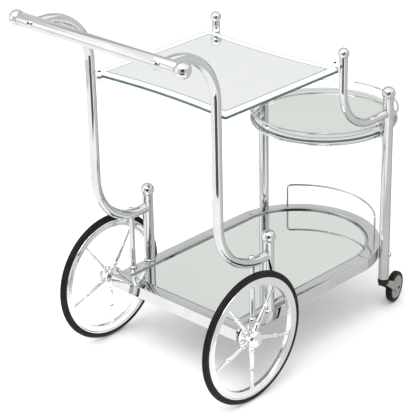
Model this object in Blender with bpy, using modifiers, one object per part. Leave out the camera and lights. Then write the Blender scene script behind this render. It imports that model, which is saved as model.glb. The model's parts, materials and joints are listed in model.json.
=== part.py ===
# Three-tier bar cart: chromed tube frame, mirror shelves, two big spoked wheels, two swivel casters.
# Frame: +X towards the casters, handle at -X, +Y is the pusher's left, +Z up, floor at Z = 0.
import math

import bmesh
import bpy
from mathutils import Matrix, Vector

# ---------------------------------------------------------------- driving dimensions (metres)
GAP = 0.0003                # clearance kept between neighbouring solids

SIDE_Y = 0.1855             # plane of the side tubes and rear posts
FRONT_Y = 0.1895            # plane of the front posts and hook tubes

HANDLE_X = -0.4338
HANDLE_Z = 0.8285
HANDLE_R = 0.0143
HANDLE_BALL_Y = 0.2400
HANDLE_BALL_R = 0.0175
HANDLE_SCREW_TILT = 15.0    # degrees above horizontal, on the pusher's face of the bar

SIDE_TUBE_R = 0.0111
SIDE_TUBE_X = -0.2864
SIDE_TOP_BEND = 0.1220
SIDE_LOW_BEND = 0.1212
SIDE_TEE_Z = 0.3054         # height where the side tube meets the rear post

POST_R = 0.0127
POST_BALL_R = 0.0160
REAR_POST_X = -0.1303
REAR_BALL_Z = 0.3488
FRONT_POST_X = 0.2743
FRONT_BALL_Z = 0.5610
FRONT_POST_FOOT_Z = 0.0920

BRACE_X = -0.1842
BRACE_R = 0.00635

HOOK_TUBE_R = 0.0095
HOOK_TUBE_X = 0.1117
HOOK_BALL_R = 0.0127
HOOK_BALL_Z = 0.7011
HOOK_BEND = 0.1000
HOOK_TEE_Z = 0.5130

TOP_GLASS_Z = 0.6725        # upper face of the top shelf
TOP_GLASS_T = 0.0062
TOP_X_REAR = -0.2725
TOP_X_FRONT = 0.0975
TOP_HALF_W = 0.1980
TOP_BOW = 0.0120            # hollow of the two cross edges
TOP_CLIP_REAR = 0.0040      # legs of the clipped corners
TOP_CLIP_FRONT = 0.0135
CLAMP_REACH = 0.0240         # from the tube's centre line along the corner's diagonal
TOP_BORDER = 0.0240         # width of the bevelled border of the top shelf
BEVEL_DROP = 0.0004

ROUND_R = 0.1690
ROUND_Z = 0.4640            # upper face of the round shelf
ROUND_T = 0.0062
ROUND_BORDER = 0.0190
BASE_RING_R = 0.1708        # tube ring under the round shelf
BASE_RING_ROD_R = 0.0030
RING_R = 0.1730
RING_ROD_R = 0.0025
RING_Z = 0.4820

RAIL_TOP = 0.1695
RAIL_H = 0.0280
RAIL_W = 0.0290
RAIL_LEDGE_W = 0.0060
RAIL_LEDGE_T = 0.0030
RAIL_REAR_X = -0.2462
RAIL_HALF_W = 0.1945
RAIL_SEAM_X = 0.2081
ARC_X = 0.1838
ARC_R = 0.1960
BOARD_RECESS = 0.0040

WIRE_R = 0.0025
WIRE_ARC_R = 0.1815
WIRE_Z = 0.2270
WIRE_CORNER = 0.0080
WIRE_HALF_ANGLE = 49.0

WHEEL_R = 0.1525
WHEEL_X = -0.2262
WHEEL_Y = 0.2215
AXLE_R = 0.0060
AXLE_BORE_R = 0.0064
SPOKES = 5
HUB_FACE = 0.0125           # outer end of the hub, from the wheel's mid-plane

CASTER_R = 0.0380
CASTER_W = 0.0160
CASTER_TRAIL = 0.0680
CASTER_TOE = 14.5           # degrees the casters are turned in at rest
CASTER_PIN_R = 0.0040
FORK_TOP_Z = 0.0785
FORK_EYE_R = 0.0125         # round end of the fork cheeks, round the caster pin
CASTER_STEPS = 28

ROUND_STEPS = 40            # sides of the big wheels
TUBE_STEPS = 20             # sides of posts and bars

CUTTERS = "cutters"
PARTS = "bar_cart"


# ---------------------------------------------------------------- scene helpers
def clear_scene():
    for obj in list(bpy.data.objects):
        bpy.data.objects.remove(obj, do_unlink=True)
    for name in (PARTS, CUTTERS):
        col = bpy.data.collections.new(name)
        bpy.context.scene.collection.children.link(col)


def link(obj, col=PARTS):
    bpy.data.collections[col].objects.link(obj)
    return obj


def material(name, color, metallic, roughness):
    mat = bpy.data.materials.get(name)
    if mat is None:
        mat = bpy.data.materials.new(name)
        mat.use_nodes = True
        bsdf = mat.node_tree.nodes["Principled BSDF"]
        bsdf.inputs["Base Color"].default_value = (*color, 1.0)
        bsdf.inputs["Metallic"].default_value = metallic
        bsdf.inputs["Roughness"].default_value = roughness
    return mat


def chrome():
    return material("chrome", (0.80, 0.81, 0.82), 1.0, 0.06)


def wheel_chrome():
    return material("wheel_chrome", (0.76, 0.77, 0.78), 1.0, 0.14)


def mirror_glass():
    return material("mirror_glass", (0.80, 0.85, 0.82), 1.0, 0.03)


def tyre_rubber():
    return material("tyre_rubber", (0.025, 0.025, 0.027), 0.0, 0.65)


def black_plastic():
    return material("black_plastic", (0.02, 0.02, 0.02), 0.0, 0.35)


def zinc_plate():
    return material("zinc_plate", (0.52, 0.50, 0.47), 1.0, 0.35)


def dress(obj, mat):
    obj.data.materials.clear()
    obj.data.materials.append(mat)
    if obj.type == "MESH":
        obj.data.shade_smooth()
        obj.data.set_sharp_from_angle(angle=math.radians(35))
    return obj


def as_cutter(obj):
    obj.hide_render = True
    obj.display_type = "WIRE"
    for col in list(obj.users_collection):
        col.objects.unlink(obj)
    link(obj, CUTTERS)
    return obj


def boolean(obj, other, operation="DIFFERENCE"):
    mod = obj.modifiers.new(operation.lower(), "BOOLEAN")
    mod.operation = operation
    mod.solver = "EXACT"
    mod.object = other
    return obj


def baked(obj):
    """A mesh of the object as evaluated, modifiers included, in its own space."""
    bpy.context.view_layer.update()
    graph = bpy.context.evaluated_depsgraph_get()
    mesh = bpy.data.meshes.new_from_object(obj.evaluated_get(graph))
    bm = bmesh.new()
    bm.from_mesh(mesh)
    bmesh.ops.remove_doubles(bm, verts=bm.verts, dist=0.00001)
    bm.to_mesh(mesh)
    bm.free()
    return mesh


def to_mesh(obj):
    """Replaces a curve or a modified object by a plain mesh object in the same place."""
    mesh = baked(obj)
    mesh.name = obj.name
    fresh = bpy.data.objects.new(obj.name + "_mesh", mesh)
    fresh.matrix_world = obj.matrix_world.copy()
    link(fresh)
    name = obj.name
    bpy.data.objects.remove(obj, do_unlink=True)
    fresh.name = name
    return fresh


def twin(obj, name, location):
    copy = bpy.data.objects.new(name, obj.data)
    copy.location = location
    copy.rotation_euler = obj.rotation_euler
    return link(copy)


def empty(name, location, turn=0.0):
    obj = bpy.data.objects.new(name, None)
    obj.location = location
    obj.rotation_euler = (0.0, 0.0, math.radians(turn))
    obj.empty_display_size = 0.02
    return link(obj)


# ---------------------------------------------------------------- shape helpers
def rod(name, start, end, radius, steps=TUBE_STEPS):
    start = Vector(start)
    end = Vector(end)
    bm = bmesh.new()
    bmesh.ops.create_cone(bm, cap_ends=True, segments=steps, radius1=radius, radius2=radius,
                          depth=(end - start).length)
    mesh = bpy.data.meshes.new(name)
    bm.to_mesh(mesh)
    bm.free()
    obj = bpy.data.objects.new(name, mesh)
    obj.location = (start + end) / 2
    obj.rotation_euler = (end - start).to_track_quat("Z", "X").to_euler()
    return link(obj)


def box(name, low, high):
    low = Vector(low)
    high = Vector(high)
    bm = bmesh.new()
    bmesh.ops.create_cube(bm, size=1.0)
    bmesh.ops.scale(bm, vec=high - low, verts=bm.verts)
    mesh = bpy.data.meshes.new(name)
    bm.to_mesh(mesh)
    bm.free()
    obj = bpy.data.objects.new(name, mesh)
    obj.location = (low + high) / 2
    return link(obj)


def turned(name, profile, steps=TUBE_STEPS, closed=False):
    """A profile of (radius, height) pairs, outer side top to bottom, turned about local Z."""
    bm = bmesh.new()
    verts = [bm.verts.new((r, 0.0, z)) for r, z in profile]
    for a, b in zip(verts, verts[1:]):
        bm.edges.new((a, b))
    if closed:
        bm.edges.new((verts[-1], verts[0]))
    mesh = bpy.data.meshes.new(name)
    bm.to_mesh(mesh)
    bm.free()
    obj = bpy.data.objects.new(name, mesh)
    screw = obj.modifiers.new("turn", "SCREW")
    screw.axis = "Z"
    screw.angle = math.radians(360)
    screw.steps = steps
    screw.render_steps = steps
    screw.use_merge_vertices = True
    screw.merge_threshold = 0.00002
    return link(obj)


def solid_turned(name, profile, steps=TUBE_STEPS, closed=False):
    return to_mesh(turned(name, profile, steps, closed))


def swept(name, points, radius, resolution=4):
    curve = bpy.data.curves.new(name, "CURVE")
    curve.dimensions = "3D"
    curve.bevel_depth = radius
    curve.bevel_resolution = resolution
    curve.use_fill_caps = True
    spline = curve.splines.new("POLY")
    spline.points.add(len(points) - 1)
    for slot, p in zip(spline.points, points):
        slot.co = (*p, 1.0)
    obj = bpy.data.objects.new(name, curve)
    return link(obj)


def sheet(name, outline, thickness):
    """A flat outline in local XY, thickened to both sides of local Z = 0."""
    curve = bpy.data.curves.new(name, "CURVE")
    curve.dimensions = "2D"
    curve.fill_mode = "BOTH"
    curve.extrude = thickness / 2
    spline = curve.splines.new("POLY")
    spline.points.add(len(outline) - 1)
    for slot, (x, y) in zip(spline.points, outline):
        slot.co = (x, y, 0.0, 1.0)
    spline.use_cyclic_u = True
    obj = bpy.data.objects.new(name, curve)
    link(obj)
    return to_mesh(obj)


def bevelled_sheet(name, outline, thickness, shrink, drop):
    """A plate whose upper face stands `drop` proud of its bevelled border."""
    bm = bmesh.new()
    face = bm.faces.new([bm.verts.new((x, y, 0.0)) for x, y in outline])
    if face.normal.z > 0:
        face.normal_flip()
    centre = face.calc_center_bounds()

    def grow(source, height, factor):
        made = bmesh.ops.extrude_face_region(bm, geom=[source], use_keep_orig=True)
        top = [g for g in made["geom"] if isinstance(g, bmesh.types.BMFace)][0]
        bm.faces.remove(source)
        for v in top.verts:
            v.co.x = centre.x + (v.co.x - centre.x) * factor[0]
            v.co.y = centre.y + (v.co.y - centre.y) * factor[1]
            v.co.z += height
        return top

    made = bmesh.ops.extrude_face_region(bm, geom=[face], use_keep_orig=True)
    top = [g for g in made["geom"] if isinstance(g, bmesh.types.BMFace)][0]
    for v in top.verts:
        v.co.z += thickness - drop
    grow(top, drop, shrink)
    bmesh.ops.recalc_face_normals(bm, faces=bm.faces)
    mesh = bpy.data.meshes.new(name)
    bm.to_mesh(mesh)
    bm.free()
    return link(bpy.data.objects.new(name, mesh))


def arc_points(cx, cz, radius, start, end, count):
    """(x, z) points on a circle, angles in degrees from +X towards +Z."""
    out = []
    for i in range(count + 1):
        a = math.radians(start + (end - start) * i / count)
        out.append((cx + radius * math.cos(a), cz + radius * math.sin(a)))
    return out


def ball_profile(radius, neck, count=7):
    """A ball with a flat seat of the neck's radius underneath."""
    seat = math.degrees(math.asin(math.sqrt(radius ** 2 - neck ** 2) / radius))
    pts = []
    for i in range(count + 1):
        a = math.radians(90 - (90 + seat) * i / count)
        pts.append((max(radius * math.cos(a), 0.0), radius * math.sin(a)))
    pts[0] = (0.0, radius)
    pts.append((0.0, pts[-1][1]))
    return pts


def seat_depth(radius, neck):
    return math.sqrt(radius ** 2 - neck ** 2)


def pair(side):
    return "left" if side > 0 else "right"


# ---------------------------------------------------------------- handle
def handle():
    seat = seat_depth(HANDLE_BALL_R, HANDLE_R)
    end = HANDLE_BALL_Y - seat - GAP
    bar = rod("handle_bar", (HANDLE_X, -end, HANDLE_Z), (HANDLE_X, end, HANDLE_Z), HANDLE_R, 24)
    tilt = math.radians(HANDLE_SCREW_TILT)
    out = Vector((-math.cos(tilt), 0.0, math.sin(tilt)))
    ball = solid_turned("handle_ball_left", ball_profile(HANDLE_BALL_R, HANDLE_R), 18)
    screw = solid_turned("handle_screw_left", screw_profile(0.0062, 0.0036, 0.0028, 0.0090), 12)
    for side in (1, -1):
        centre = Vector((HANDLE_X, side * SIDE_Y, HANDLE_Z))
        hole = rod("hole_handle_" + pair(side), centre + out * 0.0040, centre + out * 0.0200, 0.0032, 12)
        boolean(bar, as_cutter(hole))
        name = "handle_ball_" + pair(side)
        b = ball if side > 0 else twin(ball, name, (0, 0, 0))
        b.location = (HANDLE_X, side * HANDLE_BALL_Y, HANDLE_Z)
        b.rotation_euler = (math.radians(-90 * side), 0.0, 0.0)
        dress(b, chrome())
        name = "handle_screw_" + pair(side)
        s = screw if side > 0 else twin(screw, name, (0, 0, 0))
        s.location = centre + out * (HANDLE_R + GAP)
        s.rotation_euler = out.to_track_quat("Z", "X").to_euler()
        dress(s, chrome())
    dress(bar, chrome())


def screw_profile(head_r, head_h, shank_r, shank_l):
    """Domed head above local Z = 0 with its shank below."""
    pts = [(0.0, head_h)]
    for i in range(1, 4):
        a = math.radians(90 - 30 * i)
        pts.append((head_r * math.cos(a), head_h * (0.25 + 0.75 * math.sin(a))))
    pts.append((head_r, 0.0))
    pts.append((shank_r, 0.0))
    pts.append((shank_r, -shank_l))
    pts.append((0.0, -shank_l))
    return pts


# ---------------------------------------------------------------- side tubes, rear posts, braces
def side_tube_path():
    top = HANDLE_Z
    cx = SIDE_TUBE_X - SIDE_TOP_BEND
    cz = top - SIDE_TOP_BEND
    path = [(HANDLE_X + 0.002, top)]
    path += arc_points(cx, cz, SIDE_TOP_BEND, 90, 0, 9)
    lx = SIDE_TUBE_X + SIDE_LOW_BEND
    lz = SIDE_TEE_Z + SIDE_LOW_BEND
    path += arc_points(lx, lz, SIDE_LOW_BEND, 180, 270, 9)
    path.append((REAR_POST_X - 0.002, SIDE_TEE_Z))
    return path


def brace_seat():
    """Where the brace rod meets the lower bend: height and slope of the tube's centre line there."""
    lx = SIDE_TUBE_X + SIDE_LOW_BEND
    lz = SIDE_TEE_Z + SIDE_LOW_BEND
    dx = BRACE_X - lx
    z = lz - math.sqrt(SIDE_LOW_BEND ** 2 - dx ** 2)
    slope = dx / math.sqrt(SIDE_LOW_BEND ** 2 - dx ** 2)
    return z, Vector((1.0, 0.0, slope)).normalized()


def side_frames():
    ball = solid_turned("rear_post_ball_left", ball_profile(POST_BALL_R, POST_R), 16)
    seat = seat_depth(POST_BALL_R, POST_R)
    foot = RAIL_TOP + GAP
    brace_z, brace_dir = brace_seat()
    for side in (1, -1):
        tag = pair(side)
        y = side * SIDE_Y
        tube = to_mesh(swept("side_tube_" + tag, [(x, 0.0, z) for x, z in side_tube_path()], SIDE_TUBE_R))
        tube.location = (0.0, y, 0.0)
        bar_cut = rod("cope_bar_" + tag, (HANDLE_X, y - 0.03, HANDLE_Z), (HANDLE_X, y + 0.03, HANDLE_Z),
                      HANDLE_R + GAP, 24)
        post_cut = rod("cope_post_" + tag, (REAR_POST_X, y, SIDE_TEE_Z - 0.04),
                       (REAR_POST_X, y, SIDE_TEE_Z + 0.04), POST_R + GAP)
        boolean(tube, as_cutter(bar_cut))
        boolean(tube, as_cutter(post_cut))
        dress(tube, chrome())

        top = REAR_BALL_Z - seat - GAP - foot
        profile = [(0.0, top), (POST_R, top), (POST_R, 0.003), (POST_R + 0.0015, 0.003),
                   (POST_R + 0.0015, 0.0), (0.0, 0.0)]
        post = solid_turned("rear_post_" + tag, profile)
        post.location = (REAR_POST_X, y, foot)
        dress(post, chrome())
        b = ball if side > 0 else twin(ball, "rear_post_ball_" + tag, (0, 0, 0))
        b.location = (REAR_POST_X, y, REAR_BALL_Z)
        dress(b, chrome())

        seat_cut = rod("cope_brace_" + tag, Vector((BRACE_X, y, brace_z)) - brace_dir * 0.02,
                       Vector((BRACE_X, y, brace_z)) + brace_dir * 0.02, SIDE_TUBE_R + 0.0009, 24)
        as_cutter(seat_cut)
        length = brace_z - 0.0020 - foot
        profile = [(0.0, length), (BRACE_R, length), (BRACE_R, 0.0035), (0.0088, 0.0025),
                   (0.0088, 0.0), (0.0, 0.0)]
        brace = solid_turned("brace_rod_" + tag, profile, 14)
        brace.location = (BRACE_X, y, foot)
        boolean(brace, seat_cut)
        dress(brace, chrome())
        nut = solid_turned("brace_nut_" + tag, [(0.0, 0.0172), (0.0035, 0.0167), (0.0062, 0.0150),
                                                (0.0075, 0.0125), (0.0075, 0.0050), (0.0, 0.0050)], 12)
        nut.location = (BRACE_X, y, brace_z)
        boolean(nut, seat_cut)
        dress(nut, chrome())


# ---------------------------------------------------------------- front posts and hook tubes
def bolt_direction(side):
    """Outward direction of the bolt that ties a front post to the curved rail."""
    return Vector((FRONT_POST_X - ARC_X, side * FRONT_Y, 0.0)).normalized()


def hook_path():
    top = HOOK_BALL_Z - seat_depth(HOOK_BALL_R, HOOK_TUBE_R) - GAP
    path = [(HOOK_TUBE_X, top)]
    path += arc_points(HOOK_TUBE_X + HOOK_BEND, HOOK_TEE_Z + HOOK_BEND, HOOK_BEND, 180, 270, 9)
    path.append((FRONT_POST_X - 0.002, HOOK_TEE_Z))
    return path


def front_frames():
    post_ball = solid_turned("front_post_ball_left", ball_profile(POST_BALL_R, POST_R), 16)
    hook_ball = solid_turned("hook_tube_ball_left", ball_profile(HOOK_BALL_R, HOOK_TUBE_R), 14)
    bolt = solid_turned("front_post_bolt_left", screw_profile(0.0062, 0.0042, 0.0028, 0.0340), 12)
    bolt_z = RAIL_TOP - RAIL_H / 2
    for side in (1, -1):
        tag = pair(side)
        y = side * FRONT_Y
        out = bolt_direction(side)
        centre = Vector((FRONT_POST_X, y, bolt_z))
        top = FRONT_BALL_Z - seat_depth(POST_BALL_R, POST_R) - GAP - FRONT_POST_FOOT_Z
        profile = [(0.0, top), (POST_R, top), (POST_R, 0.0), (0.0062, 0.0), (0.0062, 0.030), (0.0, 0.030)]
        post = solid_turned("front_post_" + tag, profile)
        post.location = (FRONT_POST_X, y, FRONT_POST_FOOT_Z)
        hole = rod("hole_post_" + tag, centre - out * 0.030, centre + out * 0.030, 0.0032, 12)
        as_cutter(hole)
        boolean(post, hole)
        dress(post, chrome())
        s = bolt if side > 0 else twin(bolt, "front_post_bolt_" + tag, (0, 0, 0))
        s.location = centre + out * (POST_R + GAP)
        s.rotation_euler = out.to_track_quat("Z", "X").to_euler()
        dress(s, chrome())
        b = post_ball if side > 0 else twin(post_ball, "front_post_ball_" + tag, (0, 0, 0))
        b.location = (FRONT_POST_X, y, FRONT_BALL_Z)
        dress(b, chrome())

        tube = to_mesh(swept("hook_tube_" + tag, [(x, 0.0, z) for x, z in hook_path()], HOOK_TUBE_R))
        tube.location = (0.0, y, 0.0)
        cut = rod("cope_hook_" + tag, (FRONT_POST_X, y, HOOK_TEE_Z - 0.04),
                  (FRONT_POST_X, y, HOOK_TEE_Z + 0.04), POST_R + GAP)
        boolean(tube, as_cutter(cut))
        dress(tube, chrome())
        b = hook_ball if side > 0 else twin(hook_ball, "hook_tube_ball_" + tag, (0, 0, 0))
        b.location = (HOOK_TUBE_X, y, HOOK_BALL_Z)
        dress(b, chrome())


# ---------------------------------------------------------------- upper two shelves and their clamps
def top_shelf():
    """Clipped corners towards the four tubes; the two cross edges are hollow."""
    outline = []
    n = 10
    inner = TOP_HALF_W - TOP_CLIP_FRONT
    for i in range(n + 1):
        t = -1 + 2 * i / n
        outline.append((TOP_X_FRONT - TOP_BOW * (1 - t * t), t * inner))
    outline.append((TOP_X_FRONT - TOP_CLIP_FRONT, TOP_HALF_W))
    outline.append((TOP_X_REAR + TOP_CLIP_REAR, TOP_HALF_W))
    inner = TOP_HALF_W - TOP_CLIP_REAR
    for i in range(n + 1):
        t = 1 - 2 * i / n
        outline.append((TOP_X_REAR + TOP_BOW * (1 - t * t), t * inner))
    outline.append((TOP_X_REAR + TOP_CLIP_REAR, -TOP_HALF_W))
    outline.append((TOP_X_FRONT - TOP_CLIP_FRONT, -TOP_HALF_W))
    shrink = (1 - 2 * TOP_BORDER / (TOP_X_FRONT - TOP_X_REAR), 1 - TOP_BORDER / TOP_HALF_W)
    shelf = bevelled_sheet("top_shelf_mirror", outline, TOP_GLASS_T, shrink, BEVEL_DROP)
    shelf.location = (0.0, 0.0, TOP_GLASS_Z - TOP_GLASS_T)
    dress(shelf, mirror_glass())


def clamp_outline(reach, slot, back, stub=None):
    """C-shaped jaws; local X runs from the tube's face inwards, local Y is up from the glass's middle."""
    pts = [(0.0, 0.0105)]
    if stub is not None:
        pts += [(stub[0], 0.0105), (stub[0], stub[2]), (stub[1], stub[2]), (stub[1], 0.0105)]
    pts += [(reach - 0.004, 0.0105), (reach, 0.0075), (reach, slot), (back, slot), (back, -slot),
            (reach, -slot), (reach, -0.0080), (reach - 0.004, -0.0125), (0.0, -0.0125)]
    return pts


def glass_clamp(name, base, inward, outline, width, screw_at, screw_mesh):
    inward = Vector(inward)
    up = Vector((0.0, 0.0, 1.0))
    turn = Matrix((inward, up, inward.cross(up))).transposed()
    body = sheet(name, outline, width)
    body.location = base
    body.rotation_euler = turn.to_euler()
    seat = Vector(base) + inward * screw_at[0] + up * screw_at[1]
    hole = rod("hole_" + name, seat - up * 0.0045, seat + up * 0.0040, 0.0020, 10)
    boolean(body, as_cutter(hole))
    dress(body, chrome())
    screw = bpy.data.objects.new(name + "_screw", screw_mesh)
    screw.location = seat + up * GAP
    link(screw)
    dress(screw, black_plastic())


def glass_clamps():
    slot = TOP_GLASS_T / 2 + GAP
    screw = solid_turned("clamp_screw_pattern", screw_profile(0.0034, 0.0024, 0.0016, 0.0040), 10)
    mesh = screw.data
    bpy.data.objects.remove(screw, do_unlink=True)
    mid = TOP_GLASS_Z - TOP_GLASS_T / 2
    channel = as_cutter(hoop("channel_base_ring", BASE_RING_R, BASE_RING_ROD_R + 0.0006, base_ring_z()))
    diagonal = math.sqrt(0.5)
    for side in (1, -1):
        tag = pair(side)
        for end, x, y, tube, along, back in (("rear", SIDE_TUBE_X, SIDE_Y, SIDE_TUBE_R, 1, 0.0014),
                                             ("front", HOOK_TUBE_X, FRONT_Y, HOOK_TUBE_R, -1, 0.0019)):
            inward = Vector((along * diagonal, -side * diagonal, 0.0))
            base = Vector((x, side * y, mid)) + inward * (tube + GAP)
            reach = CLAMP_REACH - tube - GAP
            jaws = clamp_outline(reach, slot, back)
            glass_clamp("top_clamp_%s_%s" % (end, tag), base, inward, jaws, 0.0130,
                        (reach - 0.0050, 0.0105), mesh)
        ring_jaws = clamp_outline(0.0220, slot, 0.0058, (0.0066, 0.0156, 0.0262))
        glass_clamp("round_clamp_" + tag,
                    (FRONT_POST_X, side * (FRONT_Y - POST_R - GAP), ROUND_Z - ROUND_T / 2),
                    (0, -side, 0), ring_jaws, 0.0120, (0.0111, 0.0262), mesh)
        boolean(bpy.data.objects["round_clamp_" + tag], channel)


def round_shelf():
    outline = arc_points(0.0, 0.0, ROUND_R, 0, 360 - 360 / 64, 63)
    k = 1 - ROUND_BORDER / ROUND_R
    disc = bevelled_sheet("round_shelf_mirror", outline, ROUND_T, (k, k), BEVEL_DROP)
    disc.location = (FRONT_POST_X, 0.0, ROUND_Z - ROUND_T)
    dress(disc, mirror_glass())
    dress(hoop("round_gallery_ring", RING_R, RING_ROD_R, RING_Z), chrome())
    dress(hoop("round_base_ring", BASE_RING_R, BASE_RING_ROD_R, base_ring_z()), chrome())


def base_ring_z():
    return ROUND_Z - ROUND_T - GAP - BASE_RING_ROD_R


def hoop(name, radius, rod_radius, z):
    bpy.ops.mesh.primitive_torus_add(major_radius=radius, minor_radius=rod_radius, major_segments=48,
                                     minor_segments=6, location=(FRONT_POST_X, 0.0, z))
    ring = bpy.context.active_object
    ring.name = name
    for col in list(ring.users_collection):
        col.objects.unlink(ring)
    return link(ring)


# ---------------------------------------------------------------- lower shelf
def d_outline(inset, steps=26):
    """D-shaped outline: straight rear edge and sides, round front."""
    half = RAIL_HALF_W - inset
    radius = ARC_R - inset
    limit = math.degrees(math.acos((RAIL_SEAM_X - ARC_X) / radius))
    pts = [(RAIL_REAR_X + inset, half), (RAIL_REAR_X + inset, -half), (RAIL_SEAM_X, -half)]
    for i in range(1, steps):
        a = math.radians(-limit + 2 * limit * i / steps)
        pts.append((ARC_X + radius * math.cos(a), radius * math.sin(a)))
    pts.append((RAIL_SEAM_X, half))
    return pts


def slab(name, inset, low, high):
    obj = sheet(name, d_outline(inset), high - low)
    obj.location = (0.0, 0.0, (low + high) / 2)
    return obj


def lower_rails():
    bottom = RAIL_TOP - RAIL_H
    pocket = as_cutter(slab("pocket", RAIL_W, bottom + RAIL_LEDGE_T, RAIL_TOP + 0.01))
    through = as_cutter(slab("through", RAIL_W + RAIL_LEDGE_W, bottom - 0.01, RAIL_TOP + 0.02))
    big = 0.6
    corner_x = RAIL_REAR_X + RAIL_W
    zones = {
        "lower_rail_front": ((RAIL_SEAM_X + GAP, -big, 0.0), (big, big, big)),
        "lower_rail_left": ((corner_x + GAP, 0.0, 0.0), (RAIL_SEAM_X, big, big)),
        "lower_rail_right": ((corner_x + GAP, -big, 0.0), (RAIL_SEAM_X, 0.0, big)),
        "rear_axle_beam": ((-big, -big, 0.0), (corner_x, big, big)),
    }
    for name, (low, high) in zones.items():
        rail = slab(name, 0.0, bottom, RAIL_TOP)
        boolean(rail, pocket)
        boolean(rail, through)
        boolean(rail, as_cutter(box("zone_" + name, low, high)), "INTERSECT")
        dress(rail, chrome())
    beam = bpy.data.objects["rear_axle_beam"]
    bore = rod("bore_axle", (WHEEL_X, -0.3, WHEEL_R), (WHEEL_X, 0.3, WHEEL_R), AXLE_BORE_R, 16)
    boolean(beam, as_cutter(bore))
    front = bpy.data.objects["lower_rail_front"]
    for side in (1, -1):
        boolean(front, bpy.data.objects["hole_post_" + pair(side)])


def lower_shelf():
    low = RAIL_TOP - RAIL_H + RAIL_LEDGE_T + GAP
    board = slab("lower_shelf_mirror", RAIL_W + 0.0004, low, RAIL_TOP - BOARD_RECESS)
    dress(board, mirror_glass())


def lower_gallery():
    pts = []
    end = WIRE_HALF_ANGLE
    sweep = math.degrees(WIRE_CORNER / WIRE_ARC_R)
    foot = RAIL_TOP + GAP

    def at(angle, z):
        a = math.radians(angle)
        return (ARC_X + WIRE_ARC_R * math.cos(a), WIRE_ARC_R * math.sin(a), z)

    pts.append(at(end, foot))
    for i in range(4):
        t = math.radians(90 * i / 3)
        pts.append(at(end - sweep * (1 - math.cos(t)), WIRE_Z - WIRE_CORNER * (1 - math.sin(t))))
    n = 22
    for i in range(1, n):
        pts.append(at(end - sweep - 2 * (end - sweep) * i / n, WIRE_Z))
    for i in range(4):
        t = math.radians(90 * (1 - i / 3))
        pts.append(at(-end + sweep * (1 - math.cos(t)), WIRE_Z - WIRE_CORNER * (1 - math.sin(t))))
    pts.append(at(-end, foot))
    wire = to_mesh(swept("lower_gallery_rail", pts, WIRE_R, 1))
    dress(wire, chrome())


# ---------------------------------------------------------------- big wheels
def corner_radius(radius, sides):
    """Radius of the corners of a many-sided wheel whose flats lie at the given radius."""
    return radius / math.cos(math.pi / sides)


def tyre_profile():
    r = corner_radius(WHEEL_R, ROUND_STEPS)
    return [(0.1402, 0.0062), (0.1465, 0.0066), (0.1508, 0.0050), (r, 0.0022), (r, -0.0022),
            (0.1508, -0.0050), (0.1465, -0.0066), (0.1402, -0.0062)]


def rim_profile():
    return [(0.1394, 0.0058), (0.1394, -0.0058), (0.1370, -0.0072), (0.1260, -0.0072), (0.1220, -0.0054),
            (0.1220, 0.0054), (0.1260, 0.0072), (0.1370, 0.0072)]


def hub_profile():
    """Barrel with an inner flange; the bore runs right through."""
    b = AXLE_BORE_R
    return [(0.0185, HUB_FACE), (0.0195, 0.0100), (0.0165, 0.0085), (0.0165, -0.0095), (0.0250, -0.0115),
            (0.0250, -0.0160), (0.0150, -0.0190), (0.0130, -0.0255), (b, -0.0255), (b, HUB_FACE)]


def spoke_profile():
    """Radius along the spoke: thick inner half, a bead, a slim outer half flared into the rim."""
    return [(0.0, 0.1240), (0.0062, 0.1240), (0.0042, 0.1160), (0.0040, 0.0800), (0.0056, 0.0765),
            (0.0056, 0.0715), (0.0050, 0.0690), (0.0056, 0.0330), (0.0072, 0.0290), (0.0072, 0.0140),
            (0.0, 0.0140)]


def wheel_mesh():
    rim = solid_turned("wheel_rim_blank", rim_profile(), ROUND_STEPS, True)
    hub = as_cutter(solid_turned("wheel_hub_blank", hub_profile(), 16, True))
    boolean(rim, hub, "UNION")
    spoke = solid_turned("wheel_spoke_blank", spoke_profile(), 8)
    helpers = [hub]
    for i in range(SPOKES):
        angle = math.radians(-90 + 360 * i / SPOKES)
        arm = twin(spoke, "wheel_spoke_%d" % i, (0, 0, 0))
        out = Vector((math.cos(angle), math.sin(angle), 0.0))
        arm.rotation_euler = out.to_track_quat("Z", "Y").to_euler()
        boolean(rim, as_cutter(arm), "UNION")
        helpers.append(arm)
    mesh = baked(rim)
    mesh.name = "wheel_casting"
    for obj in helpers + [rim, spoke]:
        bpy.data.objects.remove(obj, do_unlink=True)
    return mesh


def big_wheels():
    casting = wheel_mesh()
    tyre = baked_and_gone(turned("tyre_blank", tyre_profile(), ROUND_STEPS, True))
    dome = [(0.0, 0.0092)]
    for i in range(1, 6):
        a = math.radians(90 - 18 * i)
        dome.append((0.0195 * math.cos(a), 0.0012 + 0.0080 * math.sin(a)))
    dome += [(0.0195, 0.0), (0.0, 0.0)]
    cap = baked_and_gone(turned("cap_blank", dome, 18))
    for side in (1, -1):
        tag = pair(side)
        axis = empty("wheel_axis_" + tag, (WHEEL_X, side * WHEEL_Y, WHEEL_R), 180 if side > 0 else 0)
        for name, mesh, out, mat in (
            ("wheel_casting_" + tag, casting, 0.0, wheel_chrome()),
            ("wheel_tyre_" + tag, tyre, 0.0, tyre_rubber()),
            ("wheel_cap_" + tag, cap, HUB_FACE + GAP, chrome()),
        ):
            obj = bpy.data.objects.new(name, mesh)
            obj.parent = axis
            obj.location = (0.0, -out, 0.0)
            flat_down = 180 / ROUND_STEPS if mesh is tyre else 0.0
            obj.rotation_euler = (math.radians(90), math.radians(flat_down), 0.0)
            link(obj)
            dress(obj, mat)
    end = WHEEL_Y + HUB_FACE - 0.0005
    axle = rod("wheel_axle", (WHEEL_X, -end, WHEEL_R), (WHEEL_X, end, WHEEL_R), AXLE_R, 16)
    dress(axle, chrome())


def baked_and_gone(obj):
    mesh = baked(obj)
    bpy.data.objects.remove(obj, do_unlink=True)
    return mesh


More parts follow.
